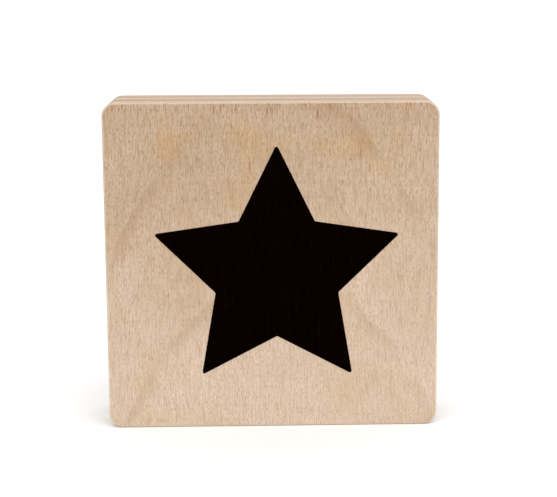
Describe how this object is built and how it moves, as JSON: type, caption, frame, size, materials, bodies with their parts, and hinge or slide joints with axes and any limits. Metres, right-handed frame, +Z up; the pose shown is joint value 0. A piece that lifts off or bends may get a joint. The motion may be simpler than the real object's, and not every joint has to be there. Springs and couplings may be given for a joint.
{
  "type": "rubber stamp",
  "caption": "Plywood block stamp with a star printed on its face and a cushioned rubber star die on its back.",
  "frame": {"origin": "centre of the edge that the block stands on, half way between its front and back faces", "axes": "+Z up with the block standing on its edge, -Y out of the printed index face, +Y out of the rubber die, +X to the right of someone who looks at the printed face"},
  "size_m": [0.07, 0.0237, 0.0695],
  "materials": {
    "face_veneer": "sanded pale birch veneer with a thin clear satin seal",
    "cross_veneer": "sanded end grain of the cross plies",
    "resin": "cured brown resin glue line",
    "printing_ink": "black screen ink with the grain showing through faintly",
    "adhesive_film": "clear double-sided adhesive film",
    "foam": "closed-cell cushion foam, cut edges",
    "die_rubber": "vulcanised red rubber, moulded, dull"
  },
  "bodies": {
    "block": {"printed_star": "printing_ink", "front_ply": "face_veneer", "front_cross_ply": "cross_veneer", "core_ply": "face_veneer", "back_cross_ply": "cross_veneer", "back_ply": "face_veneer", "glue_line_1": "resin", "glue_line_2": "resin", "glue_line_3": "resin", "glue_line_4": "resin", "mounting_film": "adhesive_film", "foam_cushion": "foam"},
    "die": {"bonding_film": "adhesive_film", "rubber_die": "die_rubber"}
  },
  "joints": [
    {"name": "die_press", "type": "slide", "parent": "block", "child": "die", "axis": [0, -1, 0], "range_m": [0, 0.0009], "stiffness_N_per_m": 100000, "deforming": ["foam_cushion"]}
  ]
}
